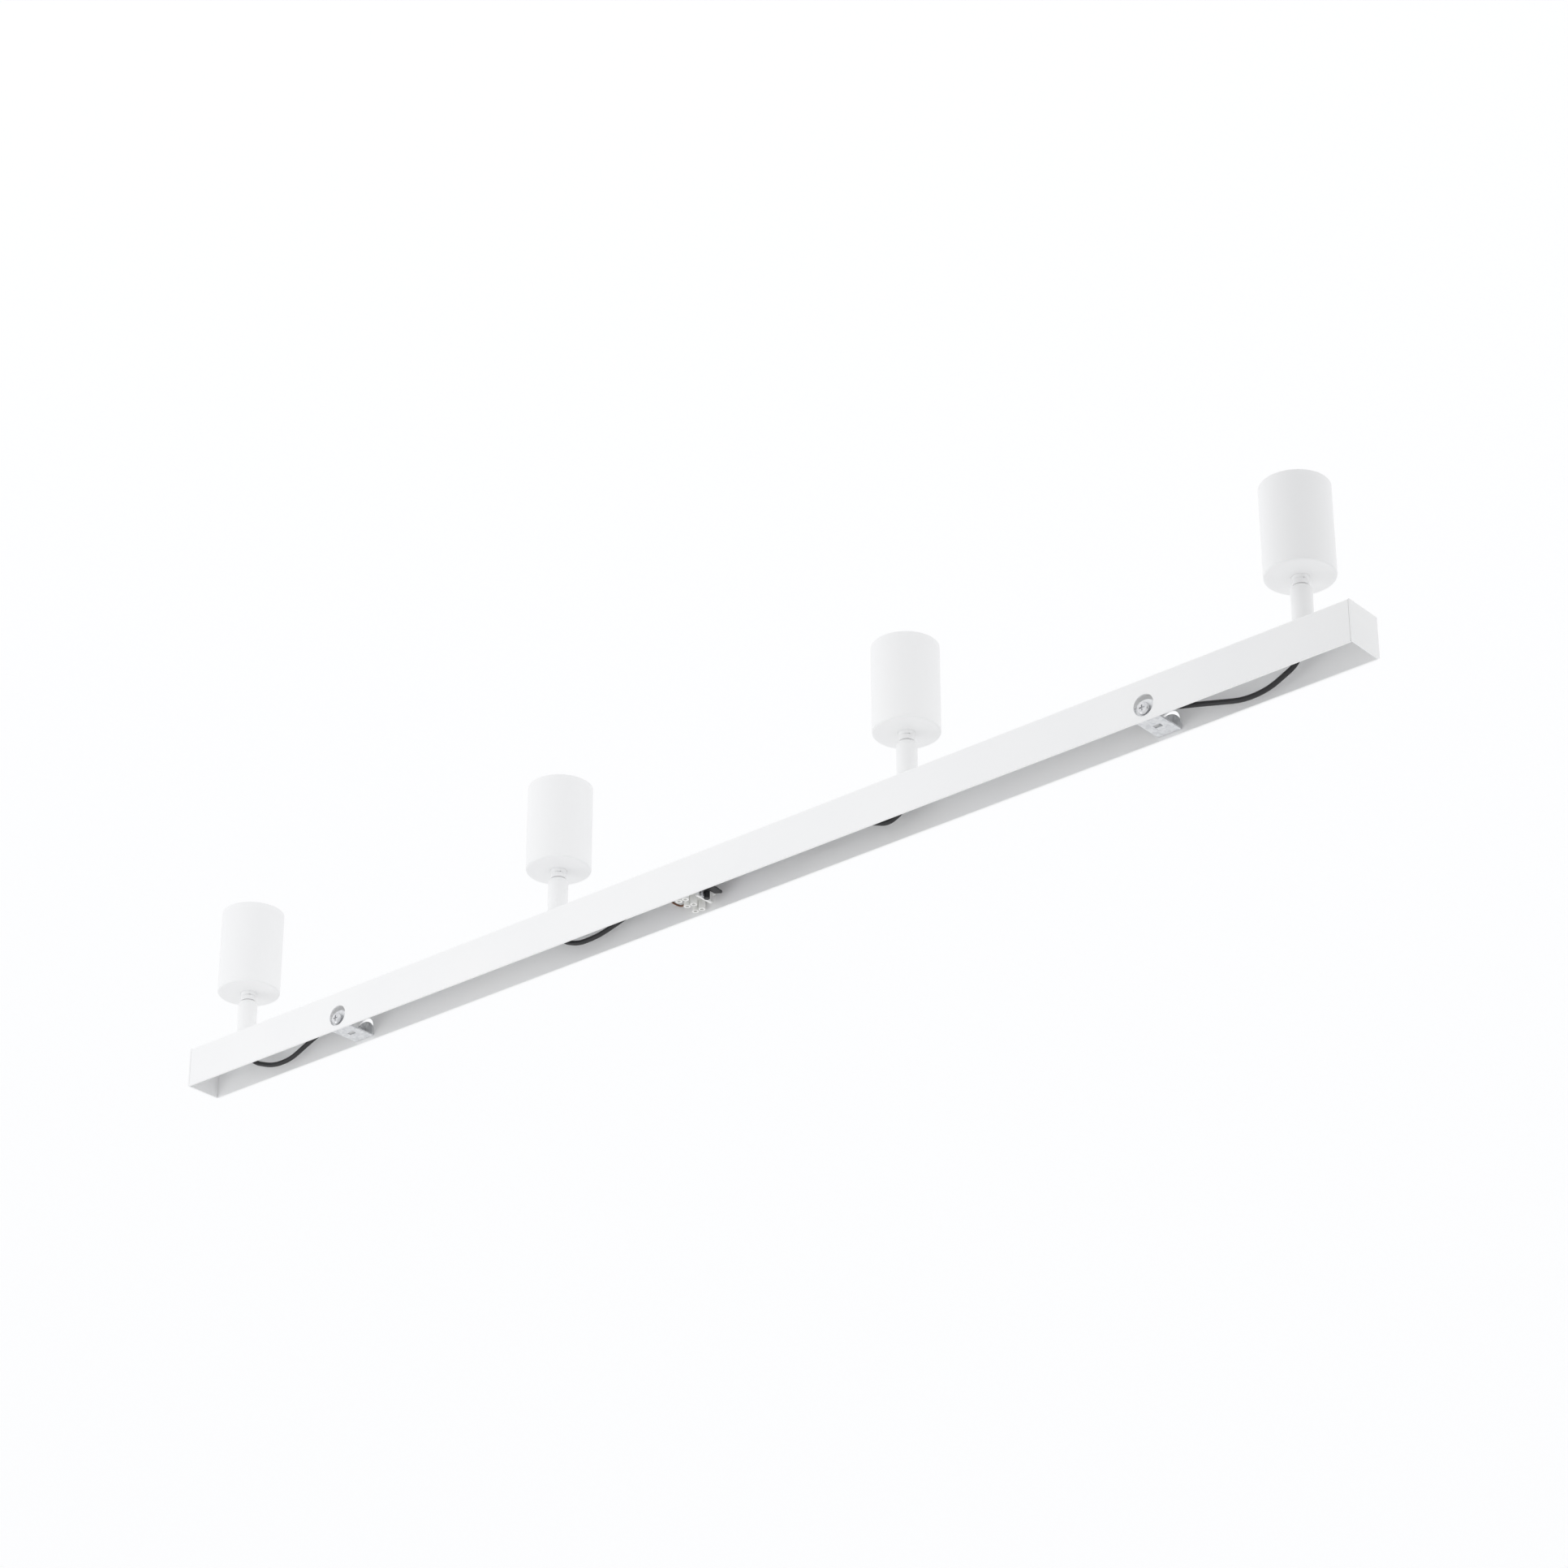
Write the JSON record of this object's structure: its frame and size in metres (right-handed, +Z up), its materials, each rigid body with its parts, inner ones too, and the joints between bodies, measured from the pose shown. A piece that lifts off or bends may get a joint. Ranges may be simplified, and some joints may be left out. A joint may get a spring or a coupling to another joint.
{
  "type": "track lighting fixture",
  "caption": "White ceiling spot bar: a folded steel channel with cylinder spot heads on round stems, each head swivelling and tilting.",
  "frame": {"origin": "middle of the channel's open rim, in the plane that lies on the ceiling", "axes": "+X along the bar, +Y across it, +Z up into the ceiling; the lamp heads hang towards -Z"},
  "size_m": [1.2, 0.054, 0.155],
  "materials": {
    "white_powder_coat": "satin white powder coat with a very fine texture",
    "galvanised_steel": "bright galvanised sheet with a faint spangle",
    "zinc_plated_steel": "bright zinc plating",
    "terminal_plastic": "moulded natural nylon, slightly translucent",
    "stand_plastic": "moulded white plastic",
    "black_plastic": "moulded black plastic",
    "brass_clamp": "turned brass",
    "black_sheath": "extruded black sheath, soft sheen",
    "brown_insulation": "brown wire insulation",
    "blue_insulation": "blue wire insulation",
    "earth_insulation": "green and yellow wire insulation",
    "lamp_holder_ceramic": "unglazed white ceramic",
    "lamp_plastic": "smooth white lamp body",
    "lens_glass": "frosted lens"
  },
  "bodies": {
    "bar": {"channel": "white_powder_coat", "bracket_left": "galvanised_steel", "bracket_right": "galvanised_steel", "bracket_screws": "zinc_plated_steel", "stem_1": "white_powder_coat", "stem_2": "white_powder_coat", "stem_3": "white_powder_coat", "stem_4": "white_powder_coat", "stem_nipples": "zinc_plated_steel", "stem_nuts": "zinc_plated_steel", "terminal_body": "terminal_plastic", "terminal_clamps": "brass_clamp", "terminal_screws": "zinc_plated_steel", "terminal_stand": "stand_plastic", "stand_screws": "zinc_plated_steel", "cord_grip": "black_plastic", "flex_1": "black_sheath", "flex_2": "black_sheath", "flex_3": "black_sheath", "flex_4": "black_sheath", "earth_lead": "earth_insulation", "earth_screw": "zinc_plated_steel", "line_leads": "brown_insulation", "neutral_leads": "blue_insulation"},
    "swivel_1": {"swivel_neck_1": "white_powder_coat", "swivel_clip_1": "zinc_plated_steel", "pivot_pin_1": "zinc_plated_steel"},
    "head_1": {"tilt_bracket_1": "zinc_plated_steel", "head_shell_1": "white_powder_coat", "lamp_holder_1": "lamp_holder_ceramic", "lamp_body_1": "lamp_plastic", "lamp_lens_1": "lens_glass", "lamp_ring_1": "white_powder_coat"},
    "swivel_2": {"swivel_neck_2": "white_powder_coat", "swivel_clip_2": "zinc_plated_steel", "pivot_pin_2": "zinc_plated_steel"},
    "head_2": {"tilt_bracket_2": "zinc_plated_steel", "head_shell_2": "white_powder_coat", "lamp_holder_2": "lamp_holder_ceramic", "lamp_body_2": "lamp_plastic", "lamp_lens_2": "lens_glass", "lamp_ring_2": "white_powder_coat"},
    "swivel_3": {"swivel_neck_3": "white_powder_coat", "swivel_clip_3": "zinc_plated_steel", "pivot_pin_3": "zinc_plated_steel"},
    "head_3": {"tilt_bracket_3": "zinc_plated_steel", "head_shell_3": "white_powder_coat", "lamp_holder_3": "lamp_holder_ceramic", "lamp_body_3": "lamp_plastic", "lamp_lens_3": "lens_glass", "lamp_ring_3": "white_powder_coat"},
    "swivel_4": {"swivel_neck_4": "white_powder_coat", "swivel_clip_4": "zinc_plated_steel", "pivot_pin_4": "zinc_plated_steel"},
    "head_4": {"tilt_bracket_4": "zinc_plated_steel", "head_shell_4": "white_powder_coat", "lamp_holder_4": "lamp_holder_ceramic", "lamp_body_4": "lamp_plastic", "lamp_lens_4": "lens_glass", "lamp_ring_4": "white_powder_coat"}
  },
  "joints": [
    {"name": "turn_1", "type": "hinge", "parent": "bar", "child": "swivel_1", "pos_m": [-0.549, 0, -0.0674], "axis": [0, 0, 1], "range_deg": [-175, 175]},
    {"name": "tilt_1", "type": "hinge", "parent": "swivel_1", "child": "head_1", "pos_m": [-0.549, 0, -0.08], "axis": [0, 1, 0], "range_deg": [-25, 25]},
    {"name": "turn_2", "type": "hinge", "parent": "bar", "child": "swivel_2", "pos_m": [-0.183, 0, -0.0674], "axis": [0, 0, 1], "range_deg": [-175, 175]},
    {"name": "tilt_2", "type": "hinge", "parent": "swivel_2", "child": "head_2", "pos_m": [-0.183, 0, -0.08], "axis": [0, 1, 0], "range_deg": [-25, 25]},
    {"name": "turn_3", "type": "hinge", "parent": "bar", "child": "swivel_3", "pos_m": [0.183, 0, -0.0674], "axis": [0, 0, 1], "range_deg": [-175, 175]},
    {"name": "tilt_3", "type": "hinge", "parent": "swivel_3", "child": "head_3", "pos_m": [0.183, 0, -0.08], "axis": [0, 1, 0], "range_deg": [-25, 25]},
    {"name": "turn_4", "type": "hinge", "parent": "bar", "child": "swivel_4", "pos_m": [0.549, 0, -0.0674], "axis": [0, 0, 1], "range_deg": [-175, 175]},
    {"name": "tilt_4", "type": "hinge", "parent": "swivel_4", "child": "head_4", "pos_m": [0.549, 0, -0.08], "axis": [0, 1, 0], "range_deg": [-25, 25]}
  ]
}
